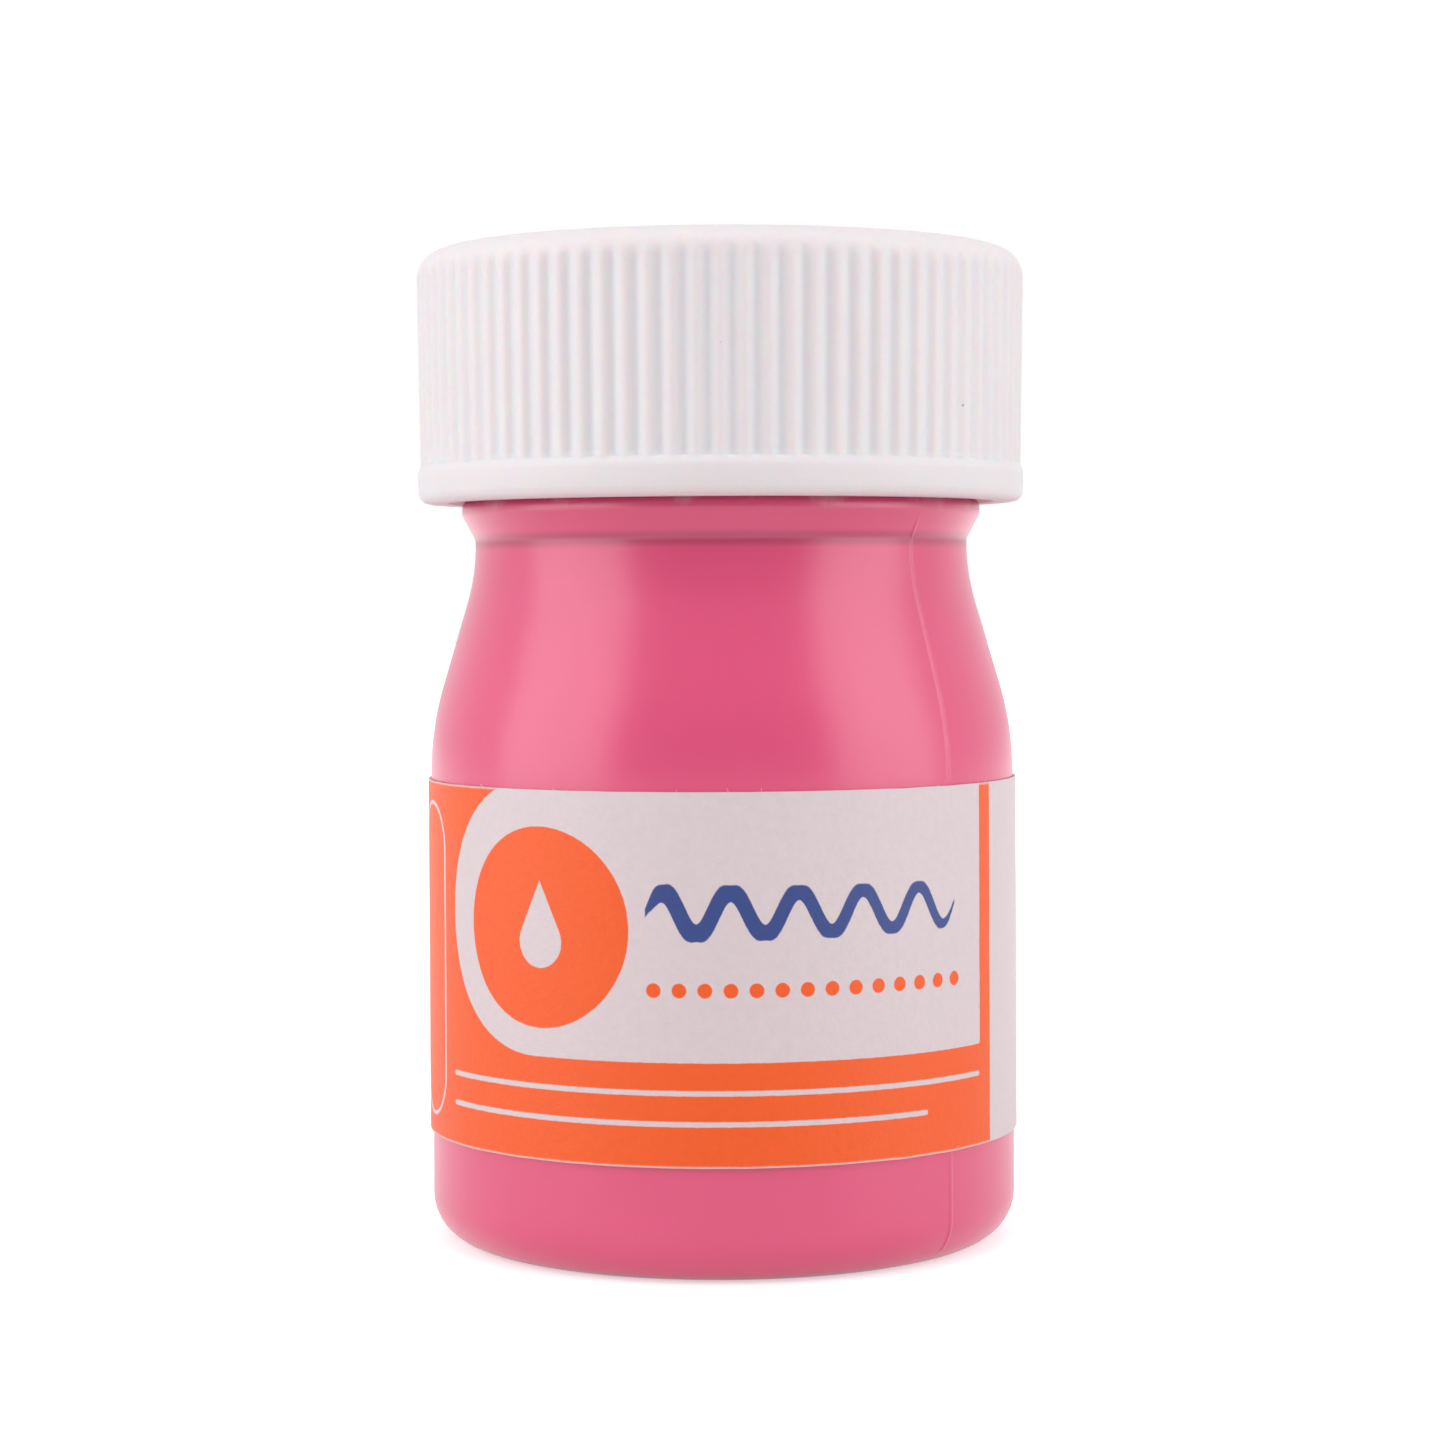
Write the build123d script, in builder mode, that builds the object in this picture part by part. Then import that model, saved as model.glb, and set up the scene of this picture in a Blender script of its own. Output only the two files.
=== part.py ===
"""Screw-top paint jar: a blow-moulded bottle with a threaded neck, a ribbed screw cap with a loose
sealing wad, a wrap-around paper label and the paint inside.

Units are millimetres. +Z is up and the jar's axis is the Z axis, with the origin in the plane that
the jar stands on. The label's front panel faces -Y.
"""

from build123d import *

import os
from math import atan2, cos, degrees, hypot, radians, sin

os.makedirs("parts", exist_ok=True)

# --- bottle body -------------------------------------------------------------------------------
body_radius = 15.25
wall = 0.95
heel_radius = 2.4
foot_ring_inner_radius = 9.5
push_up = 0.8
body_height = 24.3  # from the standing plane to where the shoulder starts

# --- shoulder: a convex arc, a straight slope and a concave arc, all tangent ---------------------
shoulder_angle = 16.5
shoulder_lower_radius = 16.0
shoulder_upper_radius = 11.0
waist_radius = 12.87

# --- bead under the cap ------------------------------------------------------------------------
bead_radius = 13.56
waist_land = 0.2
bead_flank_height = 1.3
bead_land = 0.55
bead_upper_flank_height = 1.0
bead_rounding = 0.5

# --- neck and its thread -----------------------------------------------------------------------
neck_radius = 12.5
neck_bore_radius = 11.4
neck_height = 9.85  # from the top of the bead to the lip
lip_rounding = 0.3
pitch = 4.233  # six threads to the inch
thread_base = 2.2
thread_crest = 1.0
thread_depth = 1.2
thread_lip_gap = 1.2  # from the lip to the nearest flank
thread_turns = 1.3
thread_fade = 40.0  # degrees over which each end sinks into the wall
thread_bite = 0.25  # how far a ridge is rooted in its wall
thread_start_angle = -60.0

# --- mould seam and pinch-off scar -------------------------------------------------------------
seam_angle = -42.3  # direction of the parting plane, from +X towards +Y
seam_width = 0.3
seam_height = 0.07
seam_foot_gap = 0.4
pinch_length = 12.0
pinch_width = 0.7
pinch_height = 0.3

# --- cap ---------------------------------------------------------------------------------------
cap_height = 13.1
cap_top_thickness = 1.3
cap_top_rounding = 1.4
cap_skirt_clearance = 0.3  # from the crest of the neck's thread to the skirt
cap_skirt_wall = 1.85  # at the crests of the ribs, at the top
cap_taper = 0.15  # the skirt's outside is this much narrower just above the foot band
foot_band_inset = 0.02  # from the widest crests to the side of the foot band
foot_band_height = 1.9
foot_band_step = 0.3  # height over which the band meets the ribs
foot_band_rounding = 0.6
cap_mouth_chamfer = 0.3
cap_bead_overlap = 0.95  # how far the skirt reaches below the top of the bead
cap_thread_turns = 1.1
cap_thread_start_angle = 150.0
cap_thread_clearance = 0.35  # from the crest of the cap's thread to the neck
flank_clearance = 0.18
rib_count = 84
rib_groove_depth = 0.3
rib_groove_radius = 0.42
gate_radius = 1.5
gate_depth = 0.2

# --- sealing wad -------------------------------------------------------------------------------
wad_side_clearance = 0.3

# --- label -------------------------------------------------------------------------------------
label_thickness = 0.13
label_bottom = 5.85
label_shoulder_gap = 0.25  # from the label's top to where the shoulder starts
label_end_gap = 7.0  # degrees between the two ends, at the back
label_glue_gap = 0.02

# --- paint -------------------------------------------------------------------------------------
paint_wall_gap = 0.03
paint_headspace = 1.25  # from the waist down to the paint
meniscus_height = 0.35
meniscus_width = 1.2

# --- places that follow from the sizes above ---------------------------------------------------
slope = radians(shoulder_angle)
arcs_radius = shoulder_lower_radius + shoulder_upper_radius
slope_run = body_radius - waist_radius - arcs_radius * (1 - cos(slope))
slope_length = slope_run / sin(slope)
waist_z = body_height + arcs_radius * sin(slope) + slope_length * cos(slope)
bead_bottom_z = waist_z + waist_land
bead_low_z = bead_bottom_z + bead_flank_height
bead_high_z = bead_low_z + bead_land
neck_z = bead_high_z + bead_upper_flank_height
lip_z = neck_z + neck_height
cap_skirt_inner_radius = neck_radius + thread_depth + cap_skirt_clearance
cap_radius = cap_skirt_inner_radius + cap_skirt_wall
cap_waist_radius = cap_radius - cap_taper
foot_band_radius = cap_radius - foot_band_inset
cap_bottom_z = neck_z - cap_bead_overlap
cap_top_z = cap_bottom_z + cap_height
cap_ceiling_z = cap_top_z - cap_top_thickness
foot_band_z = cap_bottom_z + foot_band_height
flank_lean = (thread_base - thread_crest) / 2 / thread_depth
thread_start_z = lip_z - thread_lip_gap - thread_base / 2 - thread_turns * pitch
cap_thread_depth = cap_skirt_inner_radius - neck_radius - cap_thread_clearance
shared_flank = flank_lean * (cap_skirt_inner_radius - neck_radius)
cap_thread_drop = thread_base - shared_flank + flank_clearance
cap_thread_lead = (cap_thread_start_angle - thread_start_angle) / 360 * pitch
cap_thread_start_z = thread_start_z + cap_thread_lead - cap_thread_drop
label_height = body_height - label_shoulder_gap - label_bottom
paint_level = waist_z - paint_headspace


def draw_body(inset):
    """Draw the body from the axis at its floor to the waist, moved inwards by inset."""
    floor = TangentArc((0, push_up + inset), (foot_ring_inner_radius, inset), tangent=(1, 0))
    ring = Line(floor @ 1, (body_radius - heel_radius, inset))
    heel = JernArc(ring @ 1, (1, 0), heel_radius - inset, 90)
    side = Line(heel @ 1, (body_radius - inset, body_height))
    lower = JernArc(side @ 1, (0, 1), shoulder_lower_radius - inset, shoulder_angle)
    ramp = PolarLine(lower @ 1, slope_length, angle=90 + shoulder_angle)
    upper = JernArc(ramp @ 1, ramp % 1, shoulder_upper_radius + inset, -shoulder_angle)
    return upper @ 1


def helical_ridge(root_radius, depth, turns):
    """A right-hand ridge that starts at +X, outwards for a positive depth, with sunken ends."""
    outwards = 1 if depth > 0 else -1
    root = root_radius - outwards * thread_bite
    half_root = thread_base / 2 + flank_lean * thread_bite
    half_crest = thread_base / 2 - flank_lean * abs(depth)
    sink = abs(depth) + thread_bite / 2
    fade_rise = pitch * thread_fade / 360
    fade_pitch = hypot(fade_rise, sink) * 360 / thread_fade
    fade_angle = -outwards * degrees(atan2(sink, fade_rise))
    with BuildSketch(Plane.XZ) as section:
        with BuildLine():
            Polyline(
                (root, -half_root),
                (root_radius + depth, -half_crest),
                (root_radius + depth, half_crest),
                (root, half_root),
                close=True,
            )
        make_face()
    with BuildLine() as path:
        Helix(pitch, turns * pitch, root_radius)
    with BuildLine() as fade_path:
        Helix(fade_pitch, fade_rise, root_radius, cone_angle=fade_angle)
    with BuildPart() as middle:
        sweep(sections=section.sketch.face(), path=path.line, is_frenet=True)
    with BuildPart() as end:
        sweep(sections=section.sketch.face(), path=fade_path.line, is_frenet=True)
    with BuildPart() as ridge:
        add(middle.part)
        add(end.part.moved(Location((0, 0, turns * pitch), (0, 0, turns * 360))))
        add(end.part.moved(Location((0, 0, 0), (180, 0, 0))))
    return ridge.part


# --- bottle ------------------------------------------------------------------------------------
bottle_thread = helical_ridge(neck_radius, thread_depth, thread_turns)
bottle_thread = bottle_thread.moved(Location((0, 0, thread_start_z), (0, 0, thread_start_angle)))

with BuildPart() as bottle:
    with BuildSketch(Plane.XZ) as outside:
        with BuildLine():
            top_of_body = draw_body(0)
            Polyline(
                top_of_body,
                (waist_radius, bead_bottom_z),
                (bead_radius, bead_low_z),
                (bead_radius, bead_high_z),
                (neck_radius, neck_z),
                (neck_radius, lip_z),
                (0, lip_z),
                (0, push_up),
            )
        make_face()
        bead_corners = [
            vertex
            for vertex in outside.vertices()
            if vertex.X > 1 and bead_bottom_z - 0.01 < vertex.Y < neck_z + 0.01
        ]
        fillet(bead_corners, bead_rounding)
    revolve(axis=Axis.Z)
    # the mould seam: a low fin on the shoulder and the heel, clear of the label
    with BuildSketch(Plane.XZ.rotated((0, 0, seam_angle))) as seam:
        with BuildLine():
            top_of_seam = draw_body(-seam_height)
            Polyline(top_of_seam, (0, waist_z), (0, push_up - seam_height))
        make_face()
        with Locations((0, seam_foot_gap)):
            Rectangle(
                2 * cap_radius,
                2 * cap_radius,
                align=(Align.CENTER, Align.MAX),
                mode=Mode.SUBTRACT,
            )
        with Locations((body_radius, label_bottom + label_height / 2)):
            Rectangle(2 * wall, label_height + 4 * wall, mode=Mode.SUBTRACT)
        mirror(about=Plane.YZ)
    extrude(amount=seam_width / 2, both=True)
    # the pinch-off scar across the push-up
    with Locations(Location((0, 0, push_up - pinch_height), (0, 0, seam_angle))):
        Box(
            pinch_length,
            pinch_width,
            push_up,
            align=(Align.CENTER, Align.CENTER, Align.MIN),
        )
    add(bottle_thread)
    with BuildSketch(Plane.XZ):
        with BuildLine():
            top_of_cavity = draw_body(wall)
            Polyline(
                top_of_cavity,
                (neck_bore_radius, bead_high_z),
                (neck_bore_radius, cap_top_z),
                (0, cap_top_z),
                (0, push_up + wall),
            )
        make_face()
    revolve(axis=Axis.Z, mode=Mode.SUBTRACT)
    lip_edges = bottle.edges().filter_by(GeomType.CIRCLE).group_by(Axis.Z)[-1]
    fillet(lip_edges, lip_rounding)

bottle.part.label = "bottle"
export_step(bottle.part, "parts/bottle.step")

# --- cap ---------------------------------------------------------------------------------------
cap_thread = helical_ridge(cap_skirt_inner_radius, -cap_thread_depth, cap_thread_turns)
cap_thread = cap_thread.moved(Location((0, 0, cap_thread_start_z), (0, 0, cap_thread_start_angle)))

with BuildPart() as cap:
    with BuildSketch(Plane.XZ) as cap_outside:
        with BuildLine():
            Polyline(
                (0, cap_bottom_z),
                (foot_band_radius, cap_bottom_z),
                (foot_band_radius, foot_band_z - foot_band_step),
                (cap_waist_radius, foot_band_z),
                (cap_radius, cap_top_z),
                (0, cap_top_z),
                (0, cap_bottom_z),
            )
        make_face()
        top_corner = cap_outside.vertices().sort_by(Axis.Y).group_by(Axis.Y)[-1].sort_by(Axis.X)[-1]
        fillet(top_corner, cap_top_rounding)
        lip_corner = cap_outside.vertices().group_by(Axis.Y)[0].sort_by(Axis.X)[-1]
        fillet(lip_corner, foot_band_rounding)
    revolve(axis=Axis.Z)
    # the grooves between the ribs, leaning with the taper of the cap
    groove_lean = degrees(atan2(cap_radius - cap_waist_radius, cap_top_z - foot_band_z))
    groove_axis_radius = cap_waist_radius - rib_groove_depth + rib_groove_radius
    with PolarLocations(groove_axis_radius, rib_count, start_angle=180 / rib_count):
        with Locations(Location((0, 0, foot_band_z), (0, groove_lean, 0))):
            Cylinder(
                rib_groove_radius,
                cap_height,
                align=(Align.CENTER, Align.CENTER, Align.MIN),
                mode=Mode.SUBTRACT,
            )
    with BuildSketch(Plane.XY.offset(cap_bottom_z)):
        Circle(cap_skirt_inner_radius)
    extrude(amount=cap_ceiling_z - cap_bottom_z, mode=Mode.SUBTRACT)
    mouth = cap.edges().filter_by(GeomType.CIRCLE).group_by(Axis.Z)[0].sort_by(SortBy.RADIUS)[0]
    chamfer(mouth, cap_mouth_chamfer)
    add(cap_thread)
    with Locations((0, 0, cap_top_z)):
        Cylinder(gate_radius, 2 * gate_depth, mode=Mode.SUBTRACT)

cap.part.label = "cap"
export_step(cap.part, "parts/cap.step")

# --- sealing wad -------------------------------------------------------------------------------
with BuildPart() as sealing_wad:
    with BuildSketch(Plane.XY.offset(lip_z)):
        Circle(cap_skirt_inner_radius - wad_side_clearance)
    extrude(amount=cap_ceiling_z - lip_z)

sealing_wad.part.label = "sealing_wad"
export_step(sealing_wad.part, "parts/sealing_wad.step")

# --- label -------------------------------------------------------------------------------------
with BuildPart() as label:
    with BuildSketch(Plane.XY.offset(label_bottom)):
        inner_radius = body_radius + label_glue_gap
        first_end = 90 + label_end_gap / 2
        wrap = 360 - label_end_gap
        with BuildLine():
            inner = CenterArc((0, 0), inner_radius, first_end, wrap)
            outer = CenterArc((0, 0), inner_radius + label_thickness, first_end, wrap)
            Line(inner @ 0, outer @ 0)
            Line(inner @ 1, outer @ 1)
        make_face()
    extrude(amount=label_height)

label.part.label = "label"
export_step(label.part, "parts/label.step")

# --- paint -------------------------------------------------------------------------------------
with BuildPart() as paint:
    with BuildSketch(Plane.XZ):
        with BuildLine():
            paint_top = draw_body(wall + paint_wall_gap)
            Polyline(
                paint_top,
                (0, waist_z),
                (0, push_up + wall + paint_wall_gap),
            )
        make_face()
        # everything above the level, whose rim climbs the wall
        with BuildLine():
            level = Line((0, paint_level), (waist_radius - wall - meniscus_width, paint_level))
            climb = TangentArc(
                level @ 1,
                (waist_radius, paint_level + meniscus_height),
                tangent=(1, 0),
            )
            Polyline(climb @ 1, (waist_radius, cap_top_z), (0, cap_top_z), level @ 0)
        make_face(mode=Mode.SUBTRACT)
    revolve(axis=Axis.Z)

paint.part.label = "paint"
export_step(paint.part, "parts/paint.step")
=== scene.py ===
"""A screw-top paint jar: blown bottle, ribbed cap with a sealing wad, paper label and paint."""

import math

import bpy
import numpy as np
from mathutils import Matrix, Vector, noise


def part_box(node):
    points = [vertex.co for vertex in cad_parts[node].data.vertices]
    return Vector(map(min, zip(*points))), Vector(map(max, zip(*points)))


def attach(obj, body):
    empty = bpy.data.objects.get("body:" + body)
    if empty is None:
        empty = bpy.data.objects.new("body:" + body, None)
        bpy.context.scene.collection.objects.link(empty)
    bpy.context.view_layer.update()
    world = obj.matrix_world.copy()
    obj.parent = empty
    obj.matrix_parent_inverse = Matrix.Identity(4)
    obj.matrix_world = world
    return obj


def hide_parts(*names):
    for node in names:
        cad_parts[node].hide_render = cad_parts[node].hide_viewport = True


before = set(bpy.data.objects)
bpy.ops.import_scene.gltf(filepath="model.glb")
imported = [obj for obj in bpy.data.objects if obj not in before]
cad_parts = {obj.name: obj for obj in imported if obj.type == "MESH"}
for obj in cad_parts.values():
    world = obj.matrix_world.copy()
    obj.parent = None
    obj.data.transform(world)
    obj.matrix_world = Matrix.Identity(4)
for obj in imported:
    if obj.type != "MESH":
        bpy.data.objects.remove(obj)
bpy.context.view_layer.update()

bl_info = {
    "name": "Paint jar",
    "version": (1, 0, 0),
    "blender": (4, 5, 0),
    "location": "View3D > Sidebar > Paint jar",
    "description": "Builds a small screw-top jar of paint with its label",
    "category": "Add Mesh",
}

MM = 0.001
BOTTLE_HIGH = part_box("bottle")[1]
CAP_LOW, CAP_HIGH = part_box("cap")
WAD_LOW, WAD_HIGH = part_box("sealing_wad")
LABEL_LOW, LABEL_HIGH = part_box("label")
PAINT_LOW, PAINT_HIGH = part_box("paint")

# Bottle, in millimetres.
BODY_RADIUS = 15.25
FOOT_RING_RADIUS = 9.5
PUSH_UP_EDGE = 4.0
SHOULDER_FOOT = 26.62
SHOULDER_TOP = 34.65
WAIST_RADIUS = 12.87
WAIST_TOP = 36.45
WAIST_MIDDLE = 36.35
BEAD_RADIUS = 13.56
BEAD_FOOT = 37.75
BEAD_TOP = 38.3
NECK_FOOT = 39.3

# Cap, label, wad and paint, in millimetres.
BAND_HEIGHT = 1.9
GATE_RADIUS = 1.5
GATE_DEPTH = 0.2
LABEL_THICKNESS = 0.13
LIP_MIDDLE_RADIUS = 11.95
LIP_HALF_WIDTH = 0.85
PAINT_LEVEL = 35.0
PAINT_RIM_RADIUS = 11.86

# Neck: the same screw on the bottle and in the cap, in millimetres and degrees.
PITCH = 4.233
THREAD_BASE = 2.2
FLANK_LEAN = 0.5
NECK_RADIUS = 12.5
NECK_BORE = 11.4
NECK_TURNS = 1.3
NECK_THREAD_DEPTH = 1.2
NECK_THREAD_ANGLE = -60.0
LIP_TO_THREAD = 2.3
SKIRT_RADIUS = 14.0
CAP_TURNS = 1.1
CAP_THREAD_DEPTH = 1.15
CAP_THREAD_ANGLE = 150.0
CAP_THREAD_DROP = 1.63
THREAD_FADE = 40.0
SEAM_ANGLE = -42.3
SEAM_HALF_WIDTH = 0.16
SEAM_HEIGHT = 0.07


def size(name, text, value, low=0.0):
    """A length in metres that shows in the panel."""
    return bpy.props.FloatProperty(
        name=name, description=text, default=value, min=low, precision=5, subtype="DISTANCE",
        unit="LENGTH",
    )


def colour(name, text, value):
    """A linear colour that shows in the panel."""
    return bpy.props.FloatVectorProperty(
        name=name, description=text, default=value, size=3, min=0.0, max=1.0, subtype="COLOR",
    )


class PaintJarSizes(bpy.types.PropertyGroup):
    """Sizes of the jar's pieces."""

    wall: size("Wall", "Thickness of the bottle's wall", 0.95 * MM)
    heel: size("Heel", "Rounding between the bottle's side and its foot", 2.4 * MM)
    push_up: size("Push-up", "Height of the hollow under the bottle", 0.8 * MM)
    rib_count: bpy.props.IntProperty(
        name="Ribs", description="Number of ribs round the cap", default=84, min=12, max=200,
    )
    rib_depth: size("Rib depth", "Depth of the grooves between the ribs", 0.2 * MM)
    wad_print: size("Wad print", "Depth of the ring that the lip presses in the wad", 0.12 * MM)
    label_gap: bpy.props.FloatProperty(
        name="Label gap", description="Angle between the label's two ends, at the back",
        default=math.radians(7.0), min=0.0, max=1.0, subtype="ANGLE", unit="ROTATION",
    )
    fibre_length: size("Fibre length", "Longest paper fibre on the label's cut edges", 0.28 * MM)
    meniscus: size("Meniscus", "Height that the paint climbs the wall", 0.35 * MM)


class PaintJarColours(bpy.types.PropertyGroup):
    """Colours of the jar's pieces."""

    paint: colour("Paint", "Wet paint", (0.62, 0.036, 0.135))
    bottle: colour("Bottle", "Bottle's plastic with the paint behind it", (0.73, 0.081, 0.197))
    plastic: colour("Bare plastic", "Bottle's plastic with no paint behind it", (0.78, 0.55, 0.58))
    cap: colour("Cap", "Cap's plastic", (0.75, 0.715, 0.735))
    wad: colour("Wad", "Foam of the sealing wad", (0.85, 0.84, 0.80))
    paper: colour("Paper", "Unprinted paper", (0.67, 0.57, 0.59))
    label: colour("Label", "Label's ground colour", (0.85, 0.10, 0.009))
    ink: colour("Ink", "Label's dark ink", (0.028, 0.055, 0.22))


# ---------------------------------------------------------------- node trees


class Number:
    """A number socket, so that node maths is written as an expression."""

    def __init__(self, graph, socket):
        self.graph = graph
        self.socket = socket

    def __add__(self, other):
        return self.graph.maths("ADD", self, other)

    def __sub__(self, other):
        return self.graph.maths("SUBTRACT", self, other)

    def __rsub__(self, other):
        return self.graph.maths("SUBTRACT", other, self)

    def __mul__(self, other):
        return self.graph.maths("MULTIPLY", self, other)

    def __truediv__(self, other):
        return self.graph.maths("DIVIDE", self, other)

    def __abs__(self):
        return self.graph.maths("ABSOLUTE", self)

    __radd__ = __add__
    __rmul__ = __mul__


class Graph:
    """A node tree that is written node by node."""

    def __init__(self, tree):
        self.tree = tree

    def node(self, kind, settings=None, inputs=None):
        """A new node: its settings are set first, then each socket gets its value or its link."""
        made = self.tree.nodes.new(kind)
        for key, value in (settings or {}).items():
            setattr(made, key, value)
        for key, value in (inputs or {}).items():
            value = value.socket if isinstance(value, Number) else value
            if isinstance(value, bpy.types.NodeSocket):
                self.tree.links.new(value, made.inputs[key])
            else:
                made.inputs[key].default_value = value
        return made

    def maths(self, operation, *terms):
        made = self.node("ShaderNodeMath", {"operation": operation}, dict(enumerate(terms)))
        return Number(self, made.outputs[0])

    def vector(self, operation, *terms, output=0, **extra):
        inputs = dict(enumerate(terms)) | extra
        return self.node("ShaderNodeVectorMath", {"operation": operation}, inputs).outputs[output]

    def parts(self, vector):
        """The three numbers of a vector."""
        made = self.node("ShaderNodeSeparateXYZ", {}, {0: vector})
        return [Number(self, out) for out in made.outputs]

    def ramp(self, value, start, end, low=0.0, high=1.0):
        """A number that goes smoothly from low to high as value goes from start to end."""
        made = self.node(
            "ShaderNodeMapRange",
            {"interpolation_type": "SMOOTHSTEP"},
            {"Value": value, "From Min": start, "From Max": end, "To Min": low, "To Max": high},
        )
        return Number(self, made.outputs[0])

    def largest(self, *terms):
        found = terms[0]
        for term in terms[1:]:
            found = self.maths("MAXIMUM", found, term)
        return found

    def smallest(self, *terms):
        found = terms[0]
        for term in terms[1:]:
            found = self.maths("MINIMUM", found, term)
        return found


class Finish(Graph):
    """A material with one principled surface, in the object's own metres."""

    def __init__(self, name, **constants):
        self.material = bpy.data.materials.new(name)
        self.material.use_nodes = True
        super().__init__(self.material.node_tree)
        self.tree.nodes.clear()
        self.surface = self.node("ShaderNodeBsdfPrincipled")
        for key, value in constants.items():
            self.surface.inputs[key.replace("_", " ")].default_value = value
        self.node("ShaderNodeOutputMaterial", {}, {"Surface": self.surface.outputs[0]})
        coordinates = self.node("ShaderNodeTexCoord")
        self.place = self.vector("SCALE", coordinates.outputs["Object"], Scale=1 / MM)
        self.flat = coordinates.outputs["UV"]

    def feed(self, name, value):
        """Links a varying value to the surface."""
        value = value.socket if isinstance(value, Number) else value
        self.tree.links.new(value, self.surface.inputs[name])

    def mix(self, share, first, second):
        """A colour between two."""
        first, second = ((*c, 1.0) if isinstance(c, tuple) else c for c in (first, second))
        settings = {"data_type": "RGBA"}
        return self.node("ShaderNodeMix", settings, {0: share, 6: first, 7: second}).outputs[2]

    def grain(self, scale, detail=2.0, stretch=None, roughness=0.5):
        """Noise between about 0 and 1, with scale features to the millimetre."""
        where = self.place
        if stretch:
            where = self.vector("MULTIPLY", where, stretch)
        made = self.node(
            "ShaderNodeTexNoise",
            {},
            {"Vector": where, "Scale": scale, "Detail": detail, "Roughness": roughness},
        )
        return Number(self, made.outputs["Fac"])

    def specks(self, scale, radius, share):
        """Round specks of a radius in millimetres, one in each cell that the share picks."""
        cells = self.node("ShaderNodeTexVoronoi", {}, {"Vector": self.place, "Scale": scale})
        picked = self.parts(cells.outputs["Color"])[0]
        away = Number(self, cells.outputs["Distance"])
        near = self.ramp(away, radius * scale, 0.6 * radius * scale)
        return near * self.maths("LESS_THAN", picked, share)

    def bump(self, height, distance, normal=None):
        """Relief from a height of 0 to 1 over a distance in millimetres."""
        inputs = {"Height": height, "Distance": distance * MM, "Strength": 1.0}
        if normal is not None:
            inputs["Normal"] = normal
        return self.node("ShaderNodeBump", {}, inputs).outputs[0]


# ---------------------------------------------------------------- shapes


def rounded(corners, step):
    """Points along a half outline of (radius, height, rounding) corners, in millimetres."""
    points = []
    for index, (r, z, rounding) in enumerate(corners):
        here = Vector((r, z))
        if not rounding or index in (0, len(corners) - 1):
            points.append(here)
            continue
        back = (Vector(corners[index - 1][:2]) - here).normalized()
        ahead = (Vector(corners[index + 1][:2]) - here).normalized()
        half = back.angle(ahead) / 2
        centre = here + (back + ahead).normalized() * rounding / math.sin(half)
        start = here + back * rounding / math.tan(half) - centre
        turn = start.angle_signed(here + ahead * rounding / math.tan(half) - centre)
        count = max(2, round(abs(turn) * rounding / min(step, rounding / 2)))
        for k in range(count + 1):
            angle = -turn * k / count
            cos, sin = math.cos(angle), math.sin(angle)
            spoke = Vector((start.x * cos - start.y * sin, start.x * sin + start.y * cos))
            points.append(centre + spoke)
    line = [points[0]]
    for point in points[1:]:
        count = max(1, math.ceil((point - line[-1]).length / step))
        base = line[-1].copy()
        line += [base.lerp(point, (k + 1) / count) for k in range(count)]
    return np.array([tuple(point) for point in line])


def turned(name, outline, angles, shape=None):
    """A closed turned piece: an outline from axis to axis, swept round the angles.

    shape(radius, height, angle) returns new radii and heights, all as grids in millimetres.
    """
    radius = np.repeat(outline[1:-1, :1], len(angles), axis=1)
    height = np.repeat(outline[1:-1, 1:], len(angles), axis=1)
    angle = np.repeat(np.array(angles)[None, :], len(radius), axis=0)
    if shape:
        radius, height = shape(radius, height, angle)
    grid = np.stack((radius * np.cos(angle), radius * np.sin(angle), height), axis=2)
    rows, columns = radius.shape
    low_pole = (0.0, 0.0, outline[0, 1])
    high_pole = (0.0, 0.0, outline[-1, 1])
    points = np.vstack((grid.reshape(-1, 3), low_pole, high_pole)) * MM
    faces = []
    for i in range(rows - 1):
        for j in range(columns):
            k = (j + 1) % columns
            under, over = i * columns, (i + 1) * columns
            faces.append((under + j, under + k, over + k, over + j))
    top = (rows - 1) * columns
    for j in range(columns):
        k = (j + 1) % columns
        faces.append((rows * columns, k, j))
        faces.append((rows * columns + 1, top + j, top + k))
    return mesh_object(name, points.tolist(), faces)


def mesh_object(name, points, faces):
    """A smooth-shaded mesh object from points in metres."""
    mesh = bpy.data.meshes.new(name)
    mesh.from_pydata(points, [], faces)
    mesh.validate()
    mesh.shade_smooth()
    piece = bpy.data.objects.new(name, mesh)
    bpy.context.scene.collection.objects.link(piece)
    return piece


def thread_height(height, angle, start_height, start_angle, turns, depth):
    """How far a ridge stands out of its wall at each place, in millimetres."""
    standing = np.zeros_like(height)
    fade = THREAD_FADE / 360
    for winding in range(-1, 4):
        turn = (angle - math.radians(start_angle)) / math.tau + winding
        beyond = np.maximum(np.maximum(-turn, turn - turns), 0) / fade
        away = np.abs(height - start_height - turn * PITCH)
        ridge = np.minimum((THREAD_BASE / 2 - away) / FLANK_LEAN, depth)
        ridge = np.where(beyond < 1.2, ridge - beyond * (depth + 0.1), 0)
        standing = np.maximum(standing, ridge)
    return standing


def waves(angle, height, across, along, seed):
    """Smooth unevenness between -1 and 1 over a turned surface."""
    spot = np.vectorize(
        lambda a, z: noise.noise((across * math.cos(a), across * math.sin(a), z * along + seed))
    )
    return spot(angle, height)


def finish_piece(piece, body, node, material):
    """Gives a piece its material and body, and hides the CAD part that it stands for."""
    if material:
        piece.data.materials.clear()
        piece.data.materials.append(material)
    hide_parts(node)
    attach(piece, body)


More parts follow.
